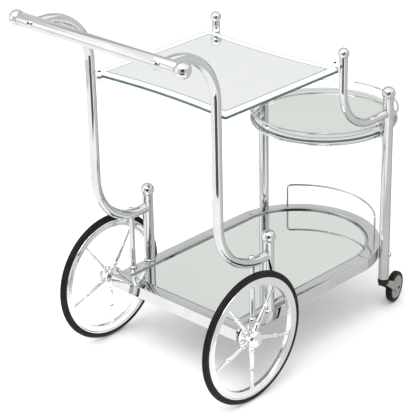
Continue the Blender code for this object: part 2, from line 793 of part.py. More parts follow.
# ---------------------------------------------------------------- casters
def hull(points):
    """Convex outline round a set of 2-D points, anticlockwise."""
    pts = sorted(set(points))

    def half(seq):
        out = []
        for p in seq:
            while len(out) > 1 and ((out[-1][0] - out[-2][0]) * (p[1] - out[-2][1])
                                    - (out[-1][1] - out[-2][1]) * (p[0] - out[-2][0])) <= 0:
                out.pop()
            out.append(p)
        return out

    return half(pts)[:-1] + half(pts[::-1])[:-1]


def fork_mesh():
    """Fork in its swivel frame: X along the trail, swivel axis at X = 0, floor at Z = 0."""
    top = FORK_TOP_Z
    circle = arc_points(CASTER_TRAIL, CASTER_R, FORK_EYE_R, 0, 345, 23)
    corners = [(0.0020, top), (0.0020, top - 0.007), (0.0180, top)]
    outline = hull([(round(x, 6), round(z, 6)) for x, z in circle + corners])
    gap = CASTER_W / 2 + 0.0008
    thick = 0.0022
    bridge = box("fork_bridge", (-0.0085, -gap - thick / 2, top - 0.0050), (0.0150, gap + thick / 2, top))
    parts = []
    for side in (1, -1):
        cheek = sheet("fork_cheek", outline, thick)
        cheek.location = (0.0, side * (gap + thick / 2), 0.0)
        cheek.rotation_euler = (math.radians(90), 0.0, 0.0)
        parts.append(cheek)
    reach = gap + thick + 0.0014
    parts.append(rod("fork_pin", (CASTER_TRAIL, -reach, CASTER_R), (CASTER_TRAIL, reach, CASTER_R),
                     CASTER_PIN_R, 14))
    parts.append(rod("fork_king", (0, 0, top - 0.002), (0, 0, top + 0.0075), 0.0040, 12))
    for p in parts:
        boolean(bridge, as_cutter(p), "UNION")
    mesh = baked(bridge)
    mesh.transform(bridge.matrix_world)
    for p in parts + [bridge]:
        bpy.data.objects.remove(p, do_unlink=True)
    return mesh


def caster_wheel_profile():
    h = CASTER_W / 2
    r = corner_radius(CASTER_R, CASTER_STEPS)
    return [(r - 0.0055, h), (r - 0.0014, h - 0.0020), (r, h - 0.0050), (r, -h + 0.0050),
            (r - 0.0014, -h + 0.0020), (r - 0.0055, -h), (0.0046, -h), (0.0046, h)]


def casters():
    fork = fork_mesh()
    wheel = baked_and_gone(turned("caster_wheel_blank", caster_wheel_profile(), CASTER_STEPS, True))
    for side in (1, -1):
        tag = pair(side)
        y = side * FRONT_Y
        low = FORK_TOP_Z + GAP
        high = FRONT_POST_FOOT_Z - GAP
        cup = solid_turned("caster_socket_" + tag, [
            (0.0, high + 0.0270), (0.0056, high + 0.0270), (0.0056, high), (0.0120, high),
            (0.0134, high - 0.0020), (0.0134, low + 0.0015), (0.0120, low), (0.0046, low),
            (0.0046, low + 0.0085), (0.0, low + 0.0085)], 20)
        cup.location = (FRONT_POST_X, y, 0.0)
        dress(cup, black_plastic())
        swivel = empty("caster_swivel_" + tag, (FRONT_POST_X, y, 0.0), -side * CASTER_TOE)
        body = bpy.data.objects.new("caster_fork_" + tag, fork)
        body.parent = swivel
        link(body)
        dress(body, zinc_plate())
        axis = empty("caster_axis_" + tag, (CASTER_TRAIL, 0.0, CASTER_R))
        axis.parent = swivel
        roller = bpy.data.objects.new("caster_wheel_" + tag, wheel)
        roller.parent = axis
        roller.rotation_euler = (math.radians(90), math.radians(180 / CASTER_STEPS), 0.0)
        link(roller)
        dress(roller, tyre_rubber())


def main():
    clear_scene()
    handle()
    side_frames()
    front_frames()
    top_shelf()
    glass_clamps()
    round_shelf()
    lower_rails()
    lower_shelf()
    lower_gallery()
    big_wheels()
    casters()


main()
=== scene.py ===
import json
import math

import bmesh
import bpy
from mathutils import Matrix, Vector


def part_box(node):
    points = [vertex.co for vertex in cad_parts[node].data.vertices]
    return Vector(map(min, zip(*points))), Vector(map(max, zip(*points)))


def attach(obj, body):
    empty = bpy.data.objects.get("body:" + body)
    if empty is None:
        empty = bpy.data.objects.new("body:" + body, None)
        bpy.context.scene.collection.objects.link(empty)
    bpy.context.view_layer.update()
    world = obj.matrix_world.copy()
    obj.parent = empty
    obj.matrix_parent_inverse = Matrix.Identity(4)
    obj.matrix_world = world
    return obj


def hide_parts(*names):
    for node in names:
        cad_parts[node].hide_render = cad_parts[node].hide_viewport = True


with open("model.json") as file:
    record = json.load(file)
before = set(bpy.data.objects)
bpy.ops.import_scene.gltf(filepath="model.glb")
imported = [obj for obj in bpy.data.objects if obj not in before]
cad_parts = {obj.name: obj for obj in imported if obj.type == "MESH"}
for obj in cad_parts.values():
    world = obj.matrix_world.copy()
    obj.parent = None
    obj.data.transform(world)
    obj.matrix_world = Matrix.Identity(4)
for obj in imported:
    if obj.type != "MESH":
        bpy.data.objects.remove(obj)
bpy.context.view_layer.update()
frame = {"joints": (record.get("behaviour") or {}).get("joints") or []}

Z = Vector((0, 0, 1))
SIDES = (("left", 1), ("right", -1))


# ---------------------------------------------------------------- reading the frame
def low(node):
    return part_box(node)[0]


def high(node):
    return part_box(node)[1]


def mid(node):
    lo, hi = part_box(node)
    return (lo + hi) / 2


def span(node):
    lo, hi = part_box(node)
    return hi - lo


# ---------------------------------------------------------------- materials
NOISE_RANGE = (0.3, 0.7)        # where most values of a noise lie
TINT_RANGE = (0.35, 0.65)       # noise values between which two tints blend
CLOUD_SCALE = 14.0              # faint cloudiness in plating
BUFFING_SCALE = 420.0           # fine marks in plating


def new_material(name):
    mat = bpy.data.materials.new(name)
    mat.use_nodes = True
    return mat, mat.node_tree, mat.node_tree.nodes["Principled BSDF"]


def noise(tree, scale, detail=3.0, rough=0.55, stretch=None):
    coords = tree.nodes.new("ShaderNodeTexCoord")
    out = coords.outputs["Object"]
    if stretch is not None:
        mapping = tree.nodes.new("ShaderNodeMapping")
        mapping.inputs["Scale"].default_value = stretch
        tree.links.new(out, mapping.inputs["Vector"])
        out = mapping.outputs["Vector"]
    tex = tree.nodes.new("ShaderNodeTexNoise")
    tex.inputs["Scale"].default_value = scale
    tex.inputs["Detail"].default_value = detail
    tex.inputs["Roughness"].default_value = rough
    tree.links.new(out, tex.inputs["Vector"])
    return tex.outputs["Fac"]


def spread(tree, value, lo, hi):
    """Maps a noise value to numbers from lo to hi."""
    node = tree.nodes.new("ShaderNodeMapRange")
    node.inputs["From Min"].default_value = NOISE_RANGE[0]
    node.inputs["From Max"].default_value = NOISE_RANGE[1]
    node.inputs["To Min"].default_value = lo
    node.inputs["To Max"].default_value = hi
    tree.links.new(value, node.inputs["Value"])
    return node.outputs["Result"]


def blend_colour(tree, value, first, second):
    """Blends two colours by a noise value."""
    ramp = tree.nodes.new("ShaderNodeValToRGB")
    for stop, position, colour in zip(ramp.color_ramp.elements, TINT_RANGE, (first, second)):
        stop.position = position
        stop.color = (*colour, 1.0)
    tree.links.new(value, ramp.inputs["Fac"])
    return ramp.outputs["Color"]


def bump(tree, bsdf, height, strength, distance):
    node = tree.nodes.new("ShaderNodeBump")
    node.inputs["Strength"].default_value = strength
    node.inputs["Distance"].default_value = distance
    tree.links.new(height, node.inputs["Height"])
    tree.links.new(node.outputs["Normal"], bsdf.inputs["Normal"])


def plated(name, bright, dull, rough, wave, metal=1.0):
    """Plating with faint clouds, fine buffing marks and a slow wave, given as its scale and strength."""
    mat, tree, bsdf = new_material(name)
    bsdf.inputs["Metallic"].default_value = metal
    clouds = noise(tree, CLOUD_SCALE, 4.0)
    marks = noise(tree, BUFFING_SCALE, 2.0)
    tree.links.new(blend_colour(tree, clouds, dull, bright), bsdf.inputs["Base Color"])
    tree.links.new(spread(tree, marks, *rough), bsdf.inputs["Roughness"])
    bump(tree, bsdf, noise(tree, wave[0], 1.0), wave[1], 0.001)
    return mat


def silvered(name, bright, dull, metal=1.0):
    """The face of a mirror: a slightly green tint that drifts across the sheet, with faint smears."""
    mat, tree, bsdf = new_material(name)
    bsdf.inputs["Metallic"].default_value = metal
    tree.links.new(blend_colour(tree, noise(tree, 3.0, 2.0), dull, bright), bsdf.inputs["Base Color"])
    tree.links.new(spread(tree, noise(tree, 40.0, 5.0), 0.006, 0.022), bsdf.inputs["Roughness"])
    return mat


def green_edge():
    mat, tree, bsdf = new_material("glass_edge")
    bsdf.inputs["Coat Weight"].default_value = 0.5
    bsdf.inputs["Coat Roughness"].default_value = 0.03
    streak = noise(tree, 30.0, 3.0, 0.6, (1.0, 1.0, 14.0))
    tree.links.new(blend_colour(tree, streak, (0.007, 0.038, 0.030), (0.032, 0.110, 0.088)),
                   bsdf.inputs["Base Color"])
    tree.links.new(spread(tree, noise(tree, 260.0, 2.0), 0.08, 0.22), bsdf.inputs["Roughness"])
    return mat


def rubber():
    mat, tree, bsdf = new_material("tyre_rubber")
    tree.links.new(blend_colour(tree, noise(tree, 70.0, 5.0, 0.65), (0.004, 0.004, 0.0045),
                                (0.011, 0.011, 0.012)), bsdf.inputs["Base Color"])
    bsdf.inputs["Specular IOR Level"].default_value = 0.14
    tree.links.new(spread(tree, noise(tree, 35.0, 3.0), 0.42, 0.62), bsdf.inputs["Roughness"])
    bump(tree, bsdf, noise(tree, 900.0, 3.0), 0.25, 0.0004)
    return mat


def moulded_black():
    mat, tree, bsdf = new_material("black_plastic")
    tree.links.new(blend_colour(tree, noise(tree, 120.0, 4.0), (0.005, 0.005, 0.005),
                                (0.014, 0.014, 0.014)), bsdf.inputs["Base Color"])
    bsdf.inputs["Specular IOR Level"].default_value = 0.22
    tree.links.new(spread(tree, noise(tree, 200.0, 2.0), 0.28, 0.45), bsdf.inputs["Roughness"])
    bump(tree, bsdf, noise(tree, 1500.0, 2.0), 0.12, 0.0003)
    return mat


def zinc():
    """Dull nickel-plated sheet steel with fine turning marks."""
    mat, tree, bsdf = new_material("zinc_plate")
    bsdf.inputs["Metallic"].default_value = 0.85
    tree.links.new(blend_colour(tree, noise(tree, 55.0, 5.0, 0.6), (0.34, 0.305, 0.275),
                                (0.46, 0.43, 0.40)), bsdf.inputs["Base Color"])
    tree.links.new(spread(tree, noise(tree, 300.0, 3.0), 0.30, 0.48), bsdf.inputs["Roughness"])
    bump(tree, bsdf, noise(tree, 700.0, 2.0), 0.10, 0.0003)
    return mat


def backing_board():
    mat, tree, bsdf = new_material("backing_board")
    tree.links.new(blend_colour(tree, noise(tree, 45.0, 6.0, 0.7), (0.30, 0.30, 0.29),
                                (0.42, 0.42, 0.41)), bsdf.inputs["Base Color"])
    tree.links.new(spread(tree, noise(tree, 150.0, 3.0), 0.50, 0.70), bsdf.inputs["Roughness"])
    bump(tree, bsdf, noise(tree, 800.0, 3.0), 0.15, 0.0004)
    return mat


CHROME = plated("chrome", (0.60, 0.605, 0.61), (0.55, 0.555, 0.56), (0.025, 0.060), (38.0, 0.05))
# Wheel plating with a brighter base colour than the frame's chrome: painted light, standing in for the
# bright floor that the rims and hub caps reflect.
WHEEL_CHROME_PAINTED_LIGHT = plated("wheel_chrome", (0.80, 0.805, 0.81), (0.72, 0.725, 0.73), (0.05, 0.12), (95.0, 0.30))
CLAMP = plated("clamp_satin", (0.88, 0.885, 0.89), (0.80, 0.805, 0.81), (0.22, 0.34), (60.0, 0.10),
               metal=0.35)
MIRROR_TOP = silvered("mirror_top", (0.955, 0.985, 0.970), (0.925, 0.965, 0.945))
MIRROR_LOW = silvered("mirror_low", (0.785, 0.830, 0.785), (0.745, 0.795, 0.750))
MIRROR_BEVEL = silvered("mirror_bevel", (0.985, 0.998, 0.992), (0.955, 0.985, 0.975), 0.55)
MIRROR_LOW_BEVEL = silvered("mirror_low_bevel", (0.86, 0.90, 0.87), (0.82, 0.86, 0.83))
# Darker silvering for thin bands along both edges of each bevel: painted dark lines standing in for the
# reflections at the bevel's edges.
MIRROR_PAINTED_DARK_LINE = silvered("mirror_painted_dark_line", (0.40, 0.42, 0.41), (0.34, 0.36, 0.35))
EDGE = green_edge()
RUBBER = rubber()
BLACK = moulded_black()
ZINC = zinc()
BOARD = backing_board()


# ---------------------------------------------------------------- mesh building
SMOOTH_ANGLE = 32.0             # edges sharper than this, in degrees, stay sharp
FLAT_ANGLE = 0.3                # the same for mirrors, whose bevels are very shallow
CHAMFER = 0.0006                # small broken edge on turned ends, clamps and cheeks


def ring_shape(profile, steps, closed=False, star=None):
    """Turns (radius, height) pairs about local Z. star: {index: sides} makes that ring a polygon."""
    verts, faces, rings = [], [], []
    for i, (r, z) in enumerate(profile):
        if r == 0:
            rings.append([len(verts)])
            verts.append(Vector((0, 0, z)))
            continue
        ring = []
        for k in range(steps):
            a = 2 * math.pi * k / steps
            rr = r
            if star and i in star:
                wedge = 2 * math.pi / star[i]
                rr = r * math.cos(wedge / 2) / math.cos((a % wedge) - wedge / 2)
            ring.append(len(verts))
            verts.append(Vector((rr * math.cos(a), rr * math.sin(a), z)))
        rings.append(ring)
    pairs = list(zip(rings, rings[1:]))
    if closed:
        pairs.append((rings[-1], rings[0]))
    for top, bottom in pairs:
        n = max(len(top), len(bottom))
        for k in range(n):
            m = (k + 1) % n
            quad = [top[k % len(top)], bottom[k % len(bottom)], bottom[m % len(bottom)], top[m % len(top)]]
            quad = [v for j, v in enumerate(quad) if v not in quad[:j]]
            if len(quad) > 2:
                faces.append(quad)
    return verts, faces


def along(verts_faces, at, axis):
    """Places a shape built about local Z at a point, its Z along an axis."""
    verts, faces = verts_faces
    turn = Vector(axis).to_track_quat("Z", "X").to_matrix()
    return [Vector(at) + turn @ v for v in verts], faces


def sweep_shape(path, radius, sides=32, closed=False):
    """A round tube along a path of points."""
    n = len(path)
    tangents = []
    for i in range(n):
        a = path[(i - 1) % n] if closed or i else path[0]
        b = path[(i + 1) % n] if closed or i < n - 1 else path[-1]
        tangents.append((b - a).normalized())
    side = tangents[0].cross(Z)
    side = side.normalized() if side.length > 1e-3 else Vector((0, 1, 0))
    verts, faces = [], []
    for p, t in zip(path, tangents):
        side = (side - t * side.dot(t)).normalized()
        up = t.cross(side)
        for k in range(sides):
            a = 2 * math.pi * k / sides
            verts.append(p + (side * math.cos(a) + up * math.sin(a)) * radius)
    for i in range(n if closed else n - 1):
        j = (i + 1) % n
        for k in range(sides):
            m = (k + 1) % sides
            faces.append([i * sides + k, i * sides + m, j * sides + m, j * sides + k])
    if not closed:
        faces.append([sides - 1 - k for k in range(sides)])
        faces.append([(n - 1) * sides + k for k in range(sides)])
    return verts, faces


def strip_shape(path, section):
    """Sweeps a closed section of (outward, up) pairs along a level path of (point, outward normal)."""
    m = len(section)
    verts, faces = [], []
    for p, out in path:
        for u, v in section:
            verts.append(Vector((p.x, p.y, 0)) + out * u + Z * v)
    last = len(path) - 1
    for i in range(last):
        for k in range(m):
            q = (k + 1) % m
            faces.append([i * m + k, (i + 1) * m + k, (i + 1) * m + q, i * m + q])
    faces.append(list(range(m)))
    faces.append([last * m + k for k in reversed(range(m))])
    return verts, faces


def stack_shape(loops):
    """Closes a pile of loops with the same number of points; the ends are flat faces."""
    verts = [Vector(p) for loop in loops for p in loop]
    n = len(loops[0])
    faces = [list(reversed(range(n)))]
    for i in range(len(loops) - 1):
        for k in range(n):
            m = (k + 1) % n
            faces.append([i * n + k, i * n + m, (i + 1) * n + m, (i + 1) * n + k])
    faces.append([(len(loops) - 1) * n + k for k in range(n)])
    return verts, faces


def fillet(points, radius, count=3):
    """Rounds the corners of a closed 2-D outline."""
    out = []
    n = len(points)
    for i in range(n):
        p = Vector(points[i])
        a = Vector(points[(i - 1) % n]) - p
        b = Vector(points[(i + 1) % n]) - p
        angle = a.angle(b)
        r = min(radius, 0.45 * min(a.length, b.length) * math.tan(angle / 2))
        cut = r / math.tan(angle / 2)
        start, stop = p + a.normalized() * cut, p + b.normalized() * cut
        centre = p + (a.normalized() + b.normalized()).normalized() * (r / math.sin(angle / 2))
        u, v = start - centre, stop - centre
        for k in range(count + 1):
            w = u.lerp(v, k / count)
            out.append(tuple(centre + w.normalized() * r))
    return out


def arc(cx, cy, radius, start, stop, count):
    """Points of a 2-D arc, its angles in degrees."""
    pts = []
    for i in range(count + 1):
        a = math.radians(start + (stop - start) * i / count)
        pts.append((cx + radius * math.cos(a), cy + radius * math.sin(a)))
    return pts


def block_shape(outline, width, axis_x, axis_y, at):
    """Extrudes a 2-D outline to both sides of a plane through `at`."""
    ax, ay = Vector(axis_x), Vector(axis_y)
    normal = ax.cross(ay)
    loops = []
    half = width / 2
    edge = min(CHAMFER, width / 6)
    cx = sum(p[0] for p in outline) / len(outline)
    cy = sum(p[1] for p in outline) / len(outline)
    for depth, shrink in ((-half, edge), (-half + edge, 0), (half - edge, 0), (half, edge)):
        loop = []
        for u, v in outline:
            d = Vector((u - cx, v - cy))
            k = 1 - shrink / max(d.length, 0.004)
            loop.append(Vector(at) + ax * (cx + d.x * k) + ay * (cy + d.y * k) + normal * depth)
        loops.append(loop)
    return stack_shape(loops)


def piece(name, shapes, mats, body, nodes=(), sharp=SMOOTH_ANGLE):
    """One object from several shapes; each shape is (verts, faces[, material number or numbers])."""
    if isinstance(mats, bpy.types.Material):
        mats = [mats]
    mesh = bpy.data.meshes.new(name)
    verts, faces, numbers = [], [], []
    for shape in shapes:
        base = len(verts)
        verts += shape[0]
        faces += [[base + i for i in f] for f in shape[1]]
        mark = shape[2] if len(shape) > 2 else 0
        numbers += [mark] * len(shape[1]) if isinstance(mark, int) else list(mark)
    mesh.from_pydata([tuple(v) for v in verts], [], faces)
    for mat in mats:
        mesh.materials.append(mat)
    mesh.polygons.foreach_set("material_index", numbers)
    bm = bmesh.new()
    bm.from_mesh(mesh)
    bmesh.ops.recalc_face_normals(bm, faces=bm.faces)
    bm.to_mesh(mesh)
    bm.free()
    mesh.shade_smooth()
    mesh.set_sharp_from_angle(angle=math.radians(sharp))
    obj = bpy.data.objects.new(name, mesh)
    bpy.context.scene.collection.objects.link(obj)
    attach(obj, body)
    if nodes:
        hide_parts(*nodes)
    return obj


# ---------------------------------------------------------------- small fittings
def ball(radius, neck):
    """A turned ball on its neck, local Z up, centre at the origin; it ends just inside the tube below."""
    seat = math.sqrt(radius ** 2 - neck ** 2)
    stop = 90 + math.degrees(math.acos(neck / radius))
    pts = [(0.0, radius)]
    for i in range(1, 25):
        a = math.radians(90 - stop * i / 24)
        pts.append((radius * math.cos(a), radius * math.sin(a)))
    spigot = neck * 0.93
    pts += [(spigot, -seat - 0.0001), (spigot, -seat - 0.0010), (0.0, -seat - 0.0010)]
    return ring_shape(pts, 48)


SCREW_STEPS = 36
SMALL_SCREW_STEPS = 20


def cap_screw(radius, height, recess, steps=SCREW_STEPS):
    """A domed head with a six-sided recess."""
    recess_floor = height * 0.25
    dome = math.radians(75)
    pts = [(0.0, recess_floor), (recess, recess_floor), (recess, height * 0.97)]
    for i in range(9):
        a = dome * (1 - i / 8)
        r = max(radius * math.cos(a), recess * 1.12)
        pts.append((r, height * (0.3 + 0.7 * math.sin(a) / math.sin(dome))))
    pts += [(radius, 0.0), (0.0, 0.0)]
    return ring_shape(pts, steps, star={1: 6, 2: 6})


def socket_head(shape, steps=SCREW_STEPS):
    """Marks the recess of a cap screw, its first two rings of faces, as material 1."""
    verts, faces = shape
    return verts, faces, [1] * (2 * steps) + [0] * (len(faces) - 2 * steps)


def pin_shape(radius, length, steps):
    """A plain round pin from the origin up local Z."""
    return ring_shape([(0.0, length), (radius, length), (radius, 0.0), (0.0, 0.0)], steps)


# ---------------------------------------------------------------- handle
HANDLE_EDGE = 0.0007            # rounding of the tube's ends
HANDLE_SCREW = (0.0060, 0.0040, 0.0030)     # radius, height and recess of its cap screws
HANDLE_SCREW_TILT = math.radians(15)        # above level
SEAT = 0.0004                   # how deep a screw head sits in its tube


def make_handle():
    c = mid("handle_bar")
    r = span("handle_bar").z / 2
    half = span("handle_bar").y / 2
    e = HANDLE_EDGE
    pts = [(0.0, half), (r - e, half), (r - 0.3 * e, half - 0.3 * e), (r, half - e), (r, -half + e),
           (r - 0.3 * e, -half + 0.3 * e), (r - e, -half), (0.0, -half)]
    piece("handle_bar_tube", [along(ring_shape(pts, 72), c, (0, 1, 0))], CHROME, "frame",
          ["handle_bar"])
    for tag, s in SIDES:
        node = "handle_ball_" + tag
        rb = span(node).x / 2
        at = Vector((c.x, s * (max(abs(low(node).y), abs(high(node).y)) - rb), c.z))
        piece("handle_end_ball_" + tag, [along(ball(rb, r), at, (0, s, 0))], CHROME, "frame",
              [node])
        node = "handle_screw_" + tag
        out = Vector((-math.cos(HANDLE_SCREW_TILT), 0, math.sin(HANDLE_SCREW_TILT)))
        at = Vector((c.x, mid(node).y, c.z)) + out * (r - SEAT)
        head = along(cap_screw(*HANDLE_SCREW), at, out)
        piece("handle_cap_screw_" + tag, [socket_head(head)], [CHROME, BLACK], "frame", [node])


# ---------------------------------------------------------------- side frames
SIDE_TUBE_X = -0.2864           # centre line of the side tube's upright
SIDE_TOP_BEND = 0.1220          # radii of its two bends
SIDE_LOW_BEND = 0.1212
SIDE_TEE_Z = 0.3054             # where it meets the rear post
REAR_POST_R = 0.0127
BRACE_ROD_R = 0.00635
BRACE_LAP = 0.0040              # how far the brace rod runs up into the side tube
NUT_DEPTH = 0.0035              # how far the dome nut reaches into the side tube


def make_side_frames():
    bar = mid("handle_bar")
    for tag, _ in SIDES:
        node = "side_tube_" + tag
        y = mid(node).y
        r = span(node).y / 2
        post = mid("rear_post_" + tag)
        pts = [(bar.x, bar.z)]
        pts += arc(SIDE_TUBE_X - SIDE_TOP_BEND, bar.z - SIDE_TOP_BEND, SIDE_TOP_BEND, 90, 0, 30)
        pts += arc(SIDE_TUBE_X + SIDE_LOW_BEND, SIDE_TEE_Z + SIDE_LOW_BEND, SIDE_LOW_BEND, 180, 270, 30)
        pts.append((post.x, SIDE_TEE_Z))
        path = [Vector((x, y, z)) for x, z in pts]
        piece("side_tube_bent_" + tag, [sweep_shape(path, r, 40)], CHROME, "frame", [node])

        node = "rear_post_" + tag
        foot = low(node).z
        tall = span(node).z
        rp = REAR_POST_R
        profile = [(0.0, tall), (rp - CHAMFER, tall), (rp, tall - CHAMFER), (rp, 0.0042),
                   (rp + 0.0006, 0.0034), (rp + 0.0014, 0.0028), (rp + 0.0015, 0.0006), (rp + 0.0010, 0.0),
                   (0.0, 0.0)]
        piece("rear_post_tube_" + tag, [along(ring_shape(profile, 56), (post.x, y, foot), Z)], CHROME,
              "frame", [node])
        node = "rear_post_ball_" + tag
        rb = span(node).x / 2
        at = Vector((post.x, y, high(node).z - rb))
        piece("rear_post_finial_" + tag, [along(ball(rb, rp), at, Z)], CHROME, "frame", [node])

        node = "brace_rod_" + tag
        x = mid(node).x
        rr = BRACE_ROD_R
        tall = span(node).z + BRACE_LAP
        profile = [(0.0, tall), (rr, tall), (rr, 0.0052), (rr + 0.0006, 0.0040), (0.0082, 0.0030),
                   (0.0088, 0.0022), (0.0088, 0.0005), (0.0084, 0.0), (0.0, 0.0)]
        piece("brace_rod_turned_" + tag, [along(ring_shape(profile, 40), (x, y, low(node).z), Z)], CHROME,
              "frame", [node])
        node = "brace_nut_" + tag
        h = span(node).z + NUT_DEPTH
        profile = [(0.0, h), (0.0030, h - 0.0004), (0.0052, h - 0.0016), (0.0064, h - 0.0034),
                   (0.0068, h - 0.0050), (0.0076, h - 0.0056), (0.0076, h - 0.0066), (0.0074, 0.0),
                   (0.0, 0.0)]
        at = (x, y, low(node).z - NUT_DEPTH)
        piece("brace_dome_nut_" + tag, [along(ring_shape(profile, 36), at, Z)], CHROME, "frame",
              [node])


# ---------------------------------------------------------------- front posts
HOOK_BEND = 0.1000              # radius of the hooked tube's bend
HOOK_TEE_Z = 0.5130             # where it meets the front post
HOOK_BALL_R = 0.0127
POST_BOLT = (0.0060, 0.0044, 0.0027)        # radius, height and recess of the head
BOLT_SHANK = (0.0028, 0.0100)   # radius and length of the stretch between post and rail
SHANK_START = 0.0210            # its inner end, from the post's centre line


def make_front_frames():
    for tag, _ in SIDES:
        node = "front_post_" + tag
        c = mid(node)
        r = span(node).x / 2
        h = span(node).z
        profile = [(0.0, h), (r - CHAMFER, h), (r, h - CHAMFER), (r, 0.0014), (r - 0.0004, 0.0004),
                   (r - 0.0012, 0.0), (0.0, 0.0)]
        foot = (c.x, c.y, low(node).z)
        piece("front_post_tube_" + tag, [along(ring_shape(profile, 64), foot, Z)], CHROME, "frame",
              [node])
        node = "front_post_ball_" + tag
        rb = span(node).x / 2
        piece("front_post_finial_" + tag, [along(ball(rb, r), (c.x, c.y, high(node).z - rb), Z)], CHROME,
              "frame", [node])

        node = "hook_tube_" + tag
        lo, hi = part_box(node)
        rt = span(node).y / 2
        x = lo.x + rt
        pts = [(x, hi.z)] + arc(x + HOOK_BEND, HOOK_TEE_Z + HOOK_BEND, HOOK_BEND, 180, 270, 30)
        pts.append((c.x, HOOK_TEE_Z))
        path = [Vector((px, mid(node).y, pz)) for px, pz in pts]
        piece("hook_tube_bent_" + tag, [sweep_shape(path, rt, 36)], CHROME, "frame", [node])
        node = "hook_tube_ball_" + tag
        at = Vector((x, c.y, high(node).z - HOOK_BALL_R))
        piece("hook_tube_finial_" + tag, [along(ball(HOOK_BALL_R, rt), at, Z)], CHROME, "frame",
              [node])

        node = "front_post_bolt_" + tag
        centre = Vector((c.x, c.y, mid(node).z))
        out = Vector((c.x - ARC_X, c.y, 0)).normalized()
        head = along(cap_screw(*POST_BOLT), centre + out * (r - SEAT), out)
        shank = along(pin_shape(*BOLT_SHANK, SMALL_SCREW_STEPS), centre - out * SHANK_START, out)
        piece("front_post_cap_bolt_" + tag, [socket_head(head), shank], [CHROME, BLACK], "frame",
              [node])


# ---------------------------------------------------------------- upper shelves
TOP_BOW = 0.0120                        # how far the top shelf's cross edges curve in
TOP_CLIP = {1: 0.0135, -1: 0.0040}      # legs of the clipped corners, front and rear
TOP_BEVEL = (0.0240, 0.0013)            # width and fall of each mirror's bevel
ROUND_BEVEL = (0.0170, 0.0012)
LOWER_BEVEL = (0.0070, 0.0004)
LINE = 0.0034                           # painted dark line where a bevel meets the face
RIM = 0.0028                            # painted dark line along the outer edge
WIRE_R = 0.0025                         # both gallery rails
BASE_RING_R = 0.0030
RING_STEPS = 119
DISC_STEPS = 143


def top_outline(inset, z):
    """Top shelf outline at a distance inside its edge: hollow cross edges, clipped corners."""
    lo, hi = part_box("top_shelf_mirror")
    steps = 24
    pts = []
    for sign, end in ((1, hi.x), (-1, lo.x)):
        leg = max(TOP_CLIP[sign] + inset * (math.sqrt(2) - 1), inset + 0.0006)
        flat = hi.y - leg
        hollow = hi.y - TOP_CLIP[sign]
        pts.append((end - sign * leg, -sign * (hi.y - inset)))
        for i in range(steps + 1):
            y = sign * (-1 + 2 * i / steps) * flat
            pts.append((end - sign * (inset + TOP_BOW * max(0.0, 1 - (y / hollow) ** 2)), y))
        pts.append((end - sign * leg, sign * (hi.y - inset)))
    return [Vector((x, y, z)) for x, y in pts]


def mirror(name, outline, bottom, top, bevel, seam, face, border, node):
    """A bevelled mirror in loops from its underside up: back, edge, painted dark line, bevel, painted dark
    line, face.
    """
    wide, fall = bevel
    loops = [outline(seam, bottom), outline(0.0, bottom + seam), outline(0.0, top - fall - seam),
             outline(seam, top - fall), outline(seam + RIM, top - fall + fall * RIM / wide),
             outline(wide - LINE, top - fall * LINE / wide), outline(wide, top)]
    n = len(loops[0])
    # material numbers: 0 face, 1 bevel, 2 edge, 3 back, 4 painted dark lines along the bevel's edges
    marks = [3] + [2] * (3 * n) + [4] * n + [1] * n + [4] * n + [0]
    piece(name, [(*stack_shape(loops), marks)], [face, border, EDGE, BOARD, MIRROR_PAINTED_DARK_LINE], "frame",
          [node], FLAT_ANGLE)


def make_shelves():
    node = "top_shelf_mirror"
    mirror("top_shelf_bevelled_mirror", top_outline, low(node).z, high(node).z, TOP_BEVEL, CHAMFER,
           MIRROR_TOP, MIRROR_BEVEL, node)

    node = "round_shelf_mirror"
    c = mid(node)
    full = span(node).x / 2

    def turned(radius, z, steps):
        return [Vector((c.x + x, y, z)) for x, y in
                arc(0, 0, radius, 0, 360 * steps / (steps + 1), steps)]

    def circle(inset, z):
        return turned(full - inset, z, DISC_STEPS)

    mirror("round_shelf_bevelled_mirror", circle, low(node).z, high(node).z, ROUND_BEVEL, CHAMFER,
           MIRROR_LOW, MIRROR_LOW_BEVEL, node)
    for node, name, rr in (("round_gallery_ring", "round_gallery_wire", WIRE_R),
                           ("round_base_ring", "round_base_tube", BASE_RING_R)):
        path = turned(span(node).x / 2 - rr, mid(node).z, RING_STEPS)
        piece(name, [sweep_shape(path, rr, 20, True)], CHROME, "frame", [node])


# ---------------------------------------------------------------- glass clamps
CLAMP_REACH = 0.0240            # from the tube's centre line, along the diagonal of the shelf's corner
CLAMP_WIDTH = 0.0128
CLAMP_LAP = 0.0010              # how far a clamp starts inside its tube
CLAMP_WEB = {"rear": 0.0026, "front": 0.0032}       # from the tube to the glass
CLAMP_TOP = 0.0103              # heights from the middle of the glass
CLAMP_BOTTOM = -0.0123
SLOT_TOP = 0.0025
SLOT_BOTTOM = -0.0033
CLAMP_NOSE = 0.0028             # slanted corners at the tips
CLAMP_ROUND = 0.0012
ROUND_CLAMP_WIDTH = 0.0118
ROUND_CLAMP_ROUND = 0.0010
ROUND_CLAMP_REACH = 0.0226
UNDER_SCREW = (0.0033, 0.0014, 0.0014)      # radius, height and recess
ROUND_SCREW = (0.0026, 0.0012, 0.0012)
DOT_SCREW = (0.0034, 0.0022, 0.0015)
DOT_SCREW_STEPS = 24


def jaw_outline(reach, web):
    """Side view of a clamp: x runs inwards from the tube, y is up from the middle of the glass."""
    tip = reach - CLAMP_NOSE
    return [(0.0, CLAMP_BOTTOM), (tip, CLAMP_BOTTOM), (reach, CLAMP_BOTTOM + CLAMP_NOSE),
            (reach, SLOT_BOTTOM), (web, SLOT_BOTTOM), (web, SLOT_TOP), (reach, SLOT_TOP),
            (reach, CLAMP_TOP - CLAMP_NOSE), (tip, CLAMP_TOP), (0.0, CLAMP_TOP)]


def dot_screw(name, at, node):
    shape = along(cap_screw(*DOT_SCREW, DOT_SCREW_STEPS), at, Z)
    piece(name, [shape], BLACK, "frame", [node])


